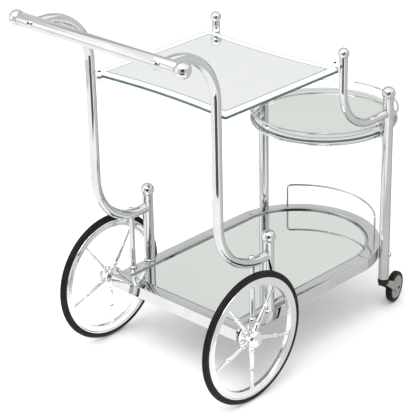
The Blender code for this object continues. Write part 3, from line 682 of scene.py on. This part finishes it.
def make_clamps():
    glass = mid("top_shelf_mirror")
    for tag, s in SIDES:
        for end, way in (("rear", 1), ("front", -1)):
            node = "top_clamp_%s_%s" % (end, tag)
            tube = ("side_tube_" if end == "rear" else "hook_tube_") + tag
            radius = span(tube).y / 2
            x = SIDE_TUBE_X if end == "rear" else low(tube).x + radius
            inward = Vector((way, -s, 0)).normalized()
            base = Vector((x, mid(tube).y, glass.z)) + inward * (radius - CLAMP_LAP)
            reach = CLAMP_REACH - radius + 0.0012
            outline = fillet(jaw_outline(reach, CLAMP_WEB[end]), CLAMP_ROUND)
            body = block_shape(outline, CLAMP_WIDTH, inward, Z, base)
            under = base + inward * (reach - 0.0052) + Z * (CLAMP_BOTTOM + 0.0002)
            lower = along(cap_screw(*UNDER_SCREW, SMALL_SCREW_STEPS), under, -Z)
            piece("top_clamp_body_%s_%s" % (end, tag), [body, (*lower, 1)], [CLAMP, BLACK], "frame",
                  [node])
            screw = mid(node + "_screw")
            dot_screw("top_clamp_dot_%s_%s" % (end, tag), (screw.x, screw.y, glass.z + CLAMP_TOP - 0.0002),
                      node + "_screw")

        node = "round_clamp_" + tag
        face = high(node).y if s > 0 else low(node).y
        base = Vector((mid(node).x, face + s * CLAMP_LAP, mid("round_shelf_mirror").z))
        reach = ROUND_CLAMP_REACH
        lower = [(0.0, -0.0125), (0.0190, -0.0125), (reach, -0.0095), (reach, SLOT_BOTTOM),
                 (0.0, SLOT_BOTTOM)]
        upper = [(0.0, 0.0022), (reach, 0.0022), (reach, 0.0072), (0.0200, 0.0104), (0.0164, 0.0105),
                 (0.0164, 0.0255), (0.0076, 0.0255), (0.0076, 0.0105), (0.0, 0.0105)]
        shapes = [block_shape(fillet(outline, ROUND_CLAMP_ROUND), ROUND_CLAMP_WIDTH, (0, -s, 0), Z, base)
                  for outline in (lower, upper)]
        for u, v, way in ((0.0195, 0.0100, Z), (0.0060, -0.0123, -Z), (0.0165, -0.0123, -Z)):
            screw = along(cap_screw(*ROUND_SCREW, SMALL_SCREW_STEPS), base + Vector((0, -s * u, v)), way)
            shapes.append((*screw, 1))
        piece("round_clamp_body_" + tag, shapes, [CLAMP, BLACK], "frame", [node])
        seat = (base.x, mid(node + "_screw").y, high(node).z - 0.0008)
        dot_screw("round_clamp_dot_" + tag, seat, node + "_screw")


# ---------------------------------------------------------------- lower shelf
RAIL_W = 0.0290
RAIL_ROUND = 0.0017             # the rail's outer edges
ARC_X = 0.1838                  # centre of the round end
LEDGE = (0.0060, 0.0030)        # width and height of the ledge inside the rails
BOARD_GAP = 0.0003
LOWER_GLASS = 0.0045            # thickness of the mirror on its board
GALLERY_END = 49.0              # the gallery's legs, in degrees from the cart's middle line
GALLERY_CORNER = 0.0080
LEG_SINK = 0.0004               # how far the legs go below the CAD's


def rail_section(bottom, top):
    """Section of the rail: outward distance from the inner wall, height; with its ledge."""
    r = RAIL_ROUND
    inner = r * 0.7
    pts = [(-LEDGE[0], bottom + LEDGE[1]), (-LEDGE[0], bottom)]
    pts += [(RAIL_W - r, bottom)] + arc(RAIL_W - r, bottom + r, r, -75, 0, 5)
    pts += arc(RAIL_W - r, top - r, r, 0, 90, 6)
    pts += arc(inner, top - inner, inner, 90, 180, 5)
    pts += [(0.0, bottom + LEDGE[1])]
    return pts


def bar(name, ends, outward, section, node):
    """A straight rail between two points of its inner wall."""
    path = [(Vector((x, y, 0)), Vector(outward)) for x, y in ends]
    piece(name, [strip_shape(path, section)], CHROME, "frame", [node])


def make_lower_shelf():
    lo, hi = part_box("lower_rail_front")
    seam = lo.x
    section = rail_section(lo.z, hi.z)
    outer = hi.x - ARC_X
    limit = math.degrees(math.acos((seam - ARC_X) / outer))
    path = []
    for i in range(61):
        a = math.radians(-limit + 2 * limit * i / 60)
        n = Vector((math.cos(a), math.sin(a), 0))
        path.append((Vector((ARC_X, 0, 0)) + n * (outer - RAIL_W), n))
    piece("lower_rail_bow", [strip_shape(path, section)], CHROME, "frame", ["lower_rail_front"])
    for tag, s in SIDES:
        node = "lower_rail_" + tag
        lo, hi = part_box(node)
        wall = s * (max(abs(lo.y), abs(hi.y)) - RAIL_W)
        bar("lower_rail_side_" + tag, ((lo.x, wall), (hi.x - 0.0002, wall)), (0, s, 0), section, node)
    lo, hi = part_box("rear_axle_beam")
    plain = [(max(u, 0.0), v) for u, v in section]
    bar("rear_axle_beam_bar", ((hi.x, lo.y), (hi.x, hi.y)), (-1, 0, 0), plain, "rear_axle_beam")

    lo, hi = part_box("lower_shelf_mirror")
    half = hi.y
    reach = hi.x - ARC_X
    turn = math.degrees(math.acos(min(1.0, (seam - ARC_X) / reach)))

    def outline(inset, z):
        pts = [(lo.x + inset, half - inset), (lo.x + inset, -half + inset), (seam, -half + inset)]
        for i in range(1, 80):
            a = math.radians(-turn + 2 * turn * i / 80)
            pts.append((ARC_X + (reach - inset) * math.cos(a), (reach - inset) * math.sin(a)))
        pts.append((seam, half - inset))
        return [Vector((x, y, z)) for x, y in pts]

    under = hi.z - LOWER_GLASS
    mirror("lower_shelf_glass", outline, under, hi.z, LOWER_BEVEL, 0.0004, MIRROR_LOW, MIRROR_LOW_BEVEL,
           "lower_shelf_mirror")
    loops = [outline(0.0008, lo.z), outline(BOARD_GAP, lo.z + CHAMFER), outline(BOARD_GAP, under - 0.0002)]
    piece("lower_shelf_board", [stack_shape(loops)], BOARD, "frame")


def make_lower_gallery():
    node = "lower_gallery_rail"
    top = high(node).z - WIRE_R
    foot = low(node).z - LEG_SINK
    radius = high(node).x - WIRE_R - ARC_X
    sweep = math.degrees(GALLERY_CORNER / radius)
    level = GALLERY_END - sweep

    def at(angle, z):
        a = math.radians(angle)
        return Vector((ARC_X + radius * math.cos(a), radius * math.sin(a), z))

    def corner(turn):
        """Angle and height in a corner of the wire, turn degrees round from its leg."""
        t = math.radians(turn)
        return GALLERY_END - sweep * (1 - math.cos(t)), top - GALLERY_CORNER * (1 - math.sin(t))

    bend = [corner(90 * i / 8) for i in range(9)]
    pts = [at(GALLERY_END, foot)] + [at(angle, z) for angle, z in bend]
    for i in range(1, 60):
        pts.append(at(level - 2 * level * i / 60, top))
    pts += [at(-angle, z) for angle, z in reversed(bend)] + [at(-GALLERY_END, foot)]
    piece("lower_gallery_wire", [sweep_shape(pts, WIRE_R, 20)], CHROME, "frame", [node])


# ---------------------------------------------------------------- big wheels
TYRE_INNER = 0.1396
BORE = 0.0061
SPOKES = 5
# Turned profiles, as radius and height along the part's own axis. The rim's is one half.
RIM_PROFILE = [(0.1400, 0.0054), (0.1392, 0.0068), (0.1376, 0.0072), (0.1362, 0.0066), (0.1345, 0.0057),
               (0.1300, 0.0053), (0.1262, 0.0056), (0.1244, 0.0062), (0.1228, 0.0059), (0.1220, 0.0048),
               (0.1218, 0.0026)]
HUB_PROFILE = [(BORE, 0.0118), (0.0178, 0.0118), (0.0190, 0.0108), (0.0192, 0.0096), (0.0180, 0.0086),
               (0.0160, 0.0080), (0.0156, 0.0060), (0.0156, -0.0090), (0.0172, -0.0100), (0.0238, -0.0112),
               (0.0250, -0.0122), (0.0250, -0.0150), (0.0240, -0.0162), (0.0160, -0.0180),
               (0.0135, -0.0200), (0.0130, -0.0245), (0.0120, -0.0255), (BORE, -0.0255)]
SPOKE_PROFILE = [(0.0, 0.1235), (0.0050, 0.1235), (0.0049, 0.1212), (0.0044, 0.1180), (0.0036, 0.1120),
                 (0.0034, 0.1000), (0.0036, 0.0850), (0.0040, 0.0810), (0.0052, 0.0796), (0.0058, 0.0776),
                 (0.0052, 0.0756), (0.0042, 0.0744), (0.0044, 0.0720), (0.0050, 0.0600), (0.0053, 0.0450),
                 (0.0050, 0.0370), (0.0046, 0.0352), (0.0056, 0.0336), (0.0066, 0.0316), (0.0068, 0.0296),
                 (0.0058, 0.0276), (0.0056, 0.0240), (0.0062, 0.0160), (0.0062, 0.0120), (0.0, 0.0120)]
CAP_BASE = 0.0126               # inner face of the hub cap, from the wheel's middle plane
AXLE_R = 0.0060


def both_faces(half_profile):
    """Adds the mirror image of a profile across the part's middle plane."""
    return half_profile + [(r, -z) for r, z in reversed(half_profile)]


def make_big_wheels():
    for tag, s in SIDES:
        body = "wheel_" + tag
        node = "wheel_tyre_" + tag
        c = mid(node)
        out = Vector((0, s, 0))
        rw = span(node).z / 2
        half = span(node).y / 2
        tread = [(TYRE_INNER, half - 0.0010), (0.1412, half - 0.0003), (0.1440, half),
                 (0.1468, half - 0.0003), (0.1495, half - 0.0012), (0.1512, half - 0.0026),
                 (rw - 0.0004, half - 0.0038), (rw, half - 0.0046)]
        groove = [(rw, 0.0014), (rw - 0.0008, 0.0012), (rw - 0.0008, 0.0006), (rw, 0.0004)]
        profile = both_faces(tread + groove) + [(TYRE_INNER, -half + 0.0010)]
        piece("big_wheel_tyre_" + tag, [along(ring_shape(profile, 160, True), c, out)], RUBBER, body,
              [node])

        shapes = [along(ring_shape(both_faces(RIM_PROFILE), 160, True), c, out),
                  along(ring_shape(HUB_PROFILE, 56, True), c, out)]
        for i in range(SPOKES):
            a = math.radians(-90 + 360 / SPOKES * i)
            shapes.append(along(ring_shape(SPOKE_PROFILE, 20), c, (-s * math.cos(a), 0, math.sin(a))))
        piece("big_wheel_casting_" + tag, shapes, WHEEL_CHROME_PAINTED_LIGHT, body, ["wheel_casting_" + tag])

        node = "wheel_cap_" + tag
        base = c + out * CAP_BASE
        tall = abs((high(node).y if s > 0 else low(node).y) - base.y)
        dome = [(0.0, tall), (0.0050, tall - 0.0003), (0.0078, tall - 0.0010), (0.0086, tall - 0.0018),
                (0.0094, tall - 0.0022), (0.0120, tall - 0.0026), (0.0150, tall - 0.0040),
                (0.0175, tall - 0.0060), (0.0188, 0.0020), (0.0192, 0.0010), (0.0188, 0.0), (0.0, 0.0)]
        piece("big_wheel_cap_" + tag, [along(ring_shape(dome, 56), base, out)], WHEEL_CHROME_PAINTED_LIGHT, body,
              [node])
    half = span("wheel_axle").y / 2
    e = 0.0005
    profile = [(0.0, half), (AXLE_R - e, half), (AXLE_R, half - e), (AXLE_R, -half + e),
               (AXLE_R - e, -half), (0.0, -half)]
    piece("wheel_axle_bar", [along(ring_shape(profile, 32), mid("wheel_axle"), (0, 1, 0))], CHROME, "frame",
          ["wheel_axle"])


# ---------------------------------------------------------------- casters
CASTER_TRAIL = 0.0680           # from the swivel's axis to the roller's
CASTER_R = 0.0380
CASTER_W = 0.0160
FORK_TOP = 0.0785
FORK_EYE_R = 0.0125             # round end of the fork's cheeks
CHEEK = 0.0022
CHEEK_GAP = 0.0008              # between the roller and a cheek
BRIDGE_THICK = 0.0050
KING_PIN = (0.0040, 0.0100)     # radius and length


def make_casters():
    half = CASTER_W / 2
    gap = half + CHEEK_GAP
    r = CASTER_R
    top = FORK_TOP
    for tag, _ in SIDES:
        post = mid("front_post_" + tag)
        joint = [j for j in frame["joints"] if j["name"] == "caster_spin_" + tag][0]
        hub = Vector(joint["pos_m"])
        axle = Vector(joint["axis"]).normalized()
        trail = Vector((hub.x - post.x, hub.y - post.y, 0)).normalized()
        pivot = Vector((post.x, post.y, 0))
        node = "caster_socket_" + tag
        cup = [(0.0, 0.0124), (0.0112, 0.0124), (0.0124, 0.0120), (0.0132, 0.0108), (0.0134, 0.0090),
               (0.0134, 0.0020), (0.0128, 0.0006), (0.0116, 0.0), (0.0, 0.0)]
        at = (post.x, post.y, low(node).z)
        piece("caster_black_socket_" + tag, [along(ring_shape(cup, 40), at, Z)], BLACK, "frame",
              [node])

        tyre = [(0.0288, half - 0.0018), (0.0298, half - 0.0005), (0.0330, half), (0.0356, half - 0.0006),
                (0.0371, half - 0.0022), (r - 0.0002, half - 0.0042), (r, half - 0.0060)]
        core = [(0.0046, half - 0.0002), (0.0100, half - 0.0002), (0.0112, half - 0.0012),
                (0.0256, half - 0.0012), (0.0264, half - 0.0004), (0.0280, half - 0.0004),
                (0.0291, half - 0.0020)]
        piece("caster_roller_" + tag, [along(ring_shape(both_faces(tyre), 96, True), hub, axle),
                                       (*along(ring_shape(both_faces(core), 64, True), hub, axle), 1)],
              [RUBBER, ZINC], "roller_" + tag, ["caster_wheel_" + tag])

        cheek = arc(CASTER_TRAIL, r, FORK_EYE_R, -127, 62, 40)
        cheek += [(0.0180, top), (0.0020, top), (0.0020, top - 0.0070)]
        shapes = []
        for side in (1, -1):
            shapes.append(block_shape(cheek, CHEEK, trail, Z, pivot + axle * (side * (gap + CHEEK / 2))))
        under = top - BRIDGE_THICK
        bridge = fillet([(-0.0085, under), (0.0150, under), (0.0150, top), (-0.0085, top)], 0.0008)
        shapes.append((*block_shape(bridge, 2 * gap + 0.0008, trail, Z, pivot), 1))
        boss = [(0.0, 0.0020), (0.0062, 0.0020), (0.0074, 0.0014), (0.0080, 0.0), (0.0, 0.0)]
        pin = [(0.0, 0.0030), (0.0024, 0.0028), (0.0038, 0.0018), (0.0040, 0.0006), (0.0040, 0.0),
               (0.0, 0.0)]
        for side in (1, -1):
            way = axle * side
            shapes.append(along(ring_shape(boss, 40), hub + way * (gap + 0.0014), way))
            shapes.append((*along(ring_shape(pin, 28), hub + way * (gap + 0.0024), way), 1))
        shapes.append((*along(pin_shape(*KING_PIN, 24), (post.x, post.y, top - 0.0020), Z), 1))
        piece("caster_steel_fork_" + tag, shapes, [ZINC, BLACK], "swivel_" + tag,
              ["caster_fork_" + tag])


# ---------------------------------------------------------------- stage, light, camera
CAMERA_AZIMUTH = math.radians(-46.02)
CAMERA_ELEVATION = math.radians(25.08)
CAMERA_ROLL = math.radians(-1.19)
CAMERA_PLACE = (-2.5703, -2.3610, 1.9482)
SENSOR = 36
LENS = 146.09

FLOOR_SIZE = 3.2                # half of the floor's side
FLOOR_DROP = 0.0004             # the floor lies just under the tyres
PAPER = (0.86, 0.86, 0.86)
CARD_CENTRE = Vector((-0.05, 0.0))
CARD_HEIGHT = 0.003
# Glossy-only sheets on the floor: start and stop angle to the right of the camera's direction,
# near and far distance from the cart, radiance.
FLOOR_CARDS = [
    ("floor_dark_patch", -30, 17, 1.33, 3.1, 0.14),
    ("floor_left_panel", -125, -32, 0.10, 1.90, 1.48),
    ("floor_left_far", -125, -32, 1.90, 3.1, 1.00),
    ("floor_left_rear", -165, -125, 0.10, 3.1, 1.00),
    ("floor_right_panel", 38, 100, 0.10, 3.1, 0.86),
    ("floor_right_rear", 100, 152, 0.10, 3.1, 0.62),
]
FLAG_DISTANCE = 3.0             # the dark flag behind the cart
FLAG_ANGLES = (2, 66)
FLAG_HEIGHTS = (0.02, 0.62)
FLAG_LEVEL = 0.07

# The room that polished surfaces see: a bright sky over a grey band, which reaches higher behind the
# cart and opens on the camera's left, and darkness where the camera stands.
AWAY = (0.72, 0.69, 0.0)
LEFTWARD = (-0.72, 0.69, 0.0)
TOWARD_CAMERA = (-0.695, -0.670, 0.259)
SKY_LEVEL = 1.85
ZENITH_DROP = 0.45              # the sky is darker overhead than near the band
BAND_DROP = 0.98
FILL_LEVEL = 1.34               # white light on everything that isn't polished


def floor_paper():
    mat, tree, bsdf = new_material("floor_paper")
    cloudy = blend_colour(tree, noise(tree, 2.0, 2.0), PAPER, tuple(c * 0.985 for c in PAPER))
    tree.links.new(cloudy, bsdf.inputs["Base Color"])
    bsdf.inputs["Roughness"].default_value = 0.9
    return mat


def stage_sheet(name, corners, mat):
    mesh = bpy.data.meshes.new(name)
    mesh.from_pydata([tuple(c) for c in corners], [], [list(range(len(corners)))])
    mesh.materials.append(mat)
    obj = bpy.data.objects.new(name, mesh)
    bpy.context.scene.collection.objects.link(obj)
    return obj


def glow(name, level):
    mat = bpy.data.materials.new(name)
    mat.use_nodes = True
    tree = mat.node_tree
    tree.nodes.clear()
    emit = tree.nodes.new("ShaderNodeEmission")
    emit.inputs["Color"].default_value = (level, level, level, 1.0)
    emit.inputs["Strength"].default_value = 1.0
    out = tree.nodes.new("ShaderNodeOutputMaterial")
    tree.links.new(emit.outputs["Emission"], out.inputs["Surface"])
    return mat


def card(name, corners, level):
    """A studio card or flag that only polished surfaces see."""
    obj = stage_sheet(name, corners, glow(name, level))
    obj.visible_camera = False
    obj.visible_diffuse = False
    obj.visible_shadow = False
    obj.visible_transmission = False


def floor_sector(start, stop, near, far):
    toward = Vector((math.sin(CAMERA_AZIMUTH), -math.cos(CAMERA_AZIMUTH)))
    right = Vector((math.cos(CAMERA_AZIMUTH), math.sin(CAMERA_AZIMUTH)))
    n = 12
    rays = []
    for i in range(n + 1):
        a = math.radians(start + (stop - start) * i / n)
        rays.append(toward * math.cos(a) + right * math.sin(a))
    pts = [CARD_CENTRE + r * near for r in rays] + [CARD_CENTRE + r * far for r in reversed(rays)]
    return [(p.x, p.y, CARD_HEIGHT) for p in pts]


def make_stage():
    size = FLOOR_SIZE
    corners = [(-size, -size, 0), (size, -size, 0), (size, size, 0), (-size, size, 0)]
    floor = stage_sheet("floor", corners, floor_paper())
    floor.location.z = -FLOOR_DROP
    for name, start, stop, near, far, level in FLOOR_CARDS:
        card(name, floor_sector(start, stop, near, far), level)
    left, right = [(math.cos(math.radians(a)) * FLAG_DISTANCE, math.sin(math.radians(a)) * FLAG_DISTANCE)
                   for a in FLAG_ANGLES]
    foot, top = FLAG_HEIGHTS
    card("flag_back", [(*left, foot), (*right, foot), (*right, top), (*left, top)], FLAG_LEVEL)


def make_world():
    world = bpy.data.worlds.new("studio")
    bpy.context.scene.world = world
    world.use_nodes = True
    tree = world.node_tree
    tree.nodes.clear()
    new = tree.nodes.new
    direction = new("ShaderNodeTexCoord").outputs["Generated"]
    split = new("ShaderNodeSeparateXYZ")
    tree.links.new(direction, split.inputs["Vector"])
    height = split.outputs["Z"]

    def facing(way):
        node = new("ShaderNodeVectorMath")
        node.operation = "DOT_PRODUCT"
        node.inputs[1].default_value = way
        tree.links.new(direction, node.inputs[0])
        return node.outputs["Value"]

    def ramp(value, start, stop, lo, hi):
        node = new("ShaderNodeMapRange")
        node.interpolation_type = "SMOOTHSTEP"
        node.inputs["From Min"].default_value = start
        node.inputs["From Max"].default_value = stop
        node.inputs["To Min"].default_value = lo
        node.inputs["To Max"].default_value = hi
        tree.links.new(value, node.inputs["Value"])
        return node.outputs["Result"]

    def maths(operation, a, b):
        node = new("ShaderNodeMath")
        node.operation = operation
        for i, v in enumerate((a, b)):
            if isinstance(v, float):
                node.inputs[i].default_value = v
            else:
                tree.links.new(v, node.inputs[i])
        return node.outputs["Value"]

    def background(level):
        node = new("ShaderNodeBackground")
        node.inputs["Color"].default_value = (1.0, 1.0, 1.0, 1.0)
        if isinstance(level, float):
            node.inputs["Strength"].default_value = level
        else:
            tree.links.new(level, node.inputs["Strength"])
        return node.outputs["Background"]

    def mix(factor, off, on):
        node = new("ShaderNodeMixShader")
        tree.links.new(factor, node.inputs["Fac"])
        tree.links.new(off, node.inputs[1])
        tree.links.new(on, node.inputs[2])
        return node.outputs["Shader"]

    behind = ramp(facing(AWAY), 0.25, 0.70, 0.0, 1.0)
    high_band = maths("MULTIPLY", behind, ramp(height, 0.62, 0.90, 1.0, 0.0))
    opening = ramp(facing(LEFTWARD), 0.84, 0.93, 1.0, 0.20)
    low_band = maths("MULTIPLY", ramp(height, 0.42, 0.54, 1.0, 0.0), opening)
    band = maths("MULTIPLY", maths("MAXIMUM", high_band, low_band), BAND_DROP)
    overhead = maths("MULTIPLY", ramp(height, 0.45, 0.75, 0.0, 1.0), ZENITH_DROP)
    sky = maths("SUBTRACT", maths("SUBTRACT", SKY_LEVEL, overhead), band)
    dark_side = ramp(facing(TOWARD_CAMERA), 0.86, 0.95, 1.0, 0.10)

    path = new("ShaderNodeLightPath")
    polished = background(maths("MULTIPLY", sky, dark_side))
    unseen = mix(path.outputs["Is Glossy Ray"], background(FILL_LEVEL), polished)
    out = new("ShaderNodeOutputWorld")
    tree.links.new(mix(path.outputs["Is Camera Ray"], unseen, background(1.0)), out.inputs["Surface"])


def make_lamp():
    key = bpy.data.lights.new("key", "AREA")
    key.shape = "RECTANGLE"
    key.size = 2.2
    key.size_y = 1.6
    key.energy = 42
    lamp = bpy.data.objects.new("key", key)
    lamp.location = (-1.2, -0.3, 2.6)
    aim = Vector((0.05, 0.0, 0.3))
    lamp.rotation_euler = (aim - lamp.location).to_track_quat("-Z", "Y").to_euler()
    bpy.context.scene.collection.objects.link(lamp)


def make_camera():
    azimuth, elevation, roll = CAMERA_AZIMUTH, CAMERA_ELEVATION, CAMERA_ROLL
    back = Vector((math.sin(azimuth) * math.cos(elevation), -math.cos(azimuth) * math.cos(elevation),
                   math.sin(elevation)))
    right = Vector((math.cos(azimuth), math.sin(azimuth), 0))
    up = back.cross(right)
    x_axis = right * math.cos(roll) + up * math.sin(roll)
    y_axis = -right * math.sin(roll) + up * math.cos(roll)
    data = bpy.data.cameras.new("camera")
    data.sensor_width = SENSOR
    data.lens = LENS
    data.clip_start = 0.1
    data.clip_end = 50
    cam = bpy.data.objects.new("camera", data)
    turn = Matrix((x_axis, y_axis, back)).transposed().to_4x4()
    cam.matrix_world = Matrix.Translation(CAMERA_PLACE) @ turn
    bpy.context.scene.collection.objects.link(cam)
    bpy.context.scene.camera = cam
    bpy.context.scene.view_settings.view_transform = "Standard"


make_camera()
make_handle()
make_side_frames()
make_front_frames()
make_shelves()
make_clamps()
make_lower_shelf()
make_lower_gallery()
make_big_wheels()
make_casters()
make_stage()
make_world()
make_lamp()
